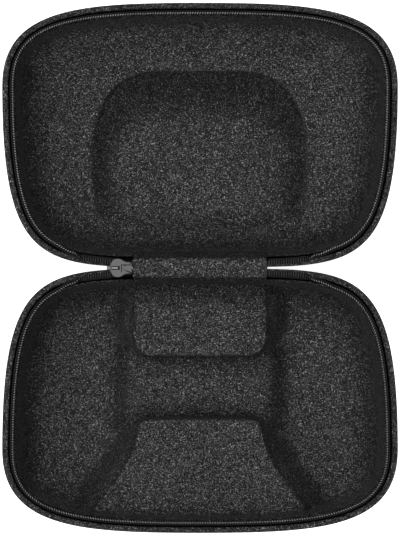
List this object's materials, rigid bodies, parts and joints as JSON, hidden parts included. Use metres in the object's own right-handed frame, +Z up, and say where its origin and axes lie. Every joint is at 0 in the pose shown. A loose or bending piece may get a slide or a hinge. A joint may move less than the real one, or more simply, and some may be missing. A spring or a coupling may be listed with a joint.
{
  "type": "headphone carrying case",
  "caption": "Rounded hard-shell case for over-ear headphones, opened flat, with a moulded two-well insert, a fabric fold and a zip with slider and pull.",
  "frame": {"origin": "on the table plane, under the middle of the fold", "axes": "+X along the fold, to the right; +Y towards the lid; +Z up out of the open halves"},
  "size_m": [0.212, 0.284, 0.0406],
  "materials": {
    "felt": "melange dark grey pressed felt",
    "core": "pressed EVA foam",
    "weave": "woven zip tape",
    "nylon": "nylon coil",
    "metal": "dull grey plated zinc",
    "leather": "tan leather"
  },
  "bodies": {
    "base": {"base_outer_cover": "felt", "base_shell_core": "core", "base_insert_tray": "felt", "base_zip_tape": "weave", "base_zip_tape_twist_right": "weave", "base_zip_tape_twist_left": "weave", "base_zip_coil": "nylon", "base_zip_coil_twist_right": "nylon", "base_zip_coil_twist_left": "nylon"},
    "spine": {"spine_zip_tape_base_right": "weave", "spine_zip_tape_base_left": "weave", "spine_zip_coil_base_right": "nylon", "spine_zip_coil_base_left": "nylon", "spine_zip_tape_lid_right": "weave", "spine_zip_tape_lid_left": "weave", "spine_zip_coil_lid_right": "nylon", "spine_zip_coil_lid_left": "nylon", "spine_inner_felt": "felt", "spine_outer_felt": "felt"},
    "lid": {"lid_outer_cover": "felt", "lid_shell_core": "core", "lid_lining": "felt", "lid_zip_tape": "weave", "lid_zip_tape_twist_right": "weave", "lid_zip_tape_twist_left": "weave", "lid_zip_coil": "nylon", "lid_zip_coil_twist_right": "nylon", "lid_zip_coil_twist_left": "nylon"},
    "slider": {"slider_body": "metal", "slider_lock_bar": "metal", "slider_cap": "metal"},
    "pull": {"pull_link": "metal", "pull_tab": "leather"}
  },
  "joints": [
    {"name": "spine_fold", "type": "hinge", "parent": "base", "child": "spine", "pos_m": [0, -0.0047, 0.036], "axis": [1, 0, 0], "range_deg": [0, 90], "deforming": ["base_zip_tape_twist_right", "base_zip_tape_twist_left", "base_zip_coil_twist_right", "base_zip_coil_twist_left"]},
    {"name": "lid_fold", "type": "hinge", "parent": "spine", "child": "lid", "pos_m": [0, 0.0047, 0.036], "axis": [1, 0, 0], "range_deg": [0, 90], "deforming": ["lid_zip_tape_twist_right", "lid_zip_tape_twist_left", "lid_zip_coil_twist_right", "lid_zip_coil_twist_left"]},
    {"name": "slider_run", "type": "slide", "parent": "spine", "child": "slider", "axis": [-1, 0, 0], "range_m": [0, 0.012]},
    {"name": "pull_swing", "type": "hinge", "parent": "slider", "child": "pull", "pos_m": [-0.046, 0, 0.03345], "axis": [0, 1, 0], "range_deg": [0, 70]}
  ],
  "couplings": [
    {"joint": "lid_fold", "follows": "spine_fold", "ratio": 1}
  ]
}
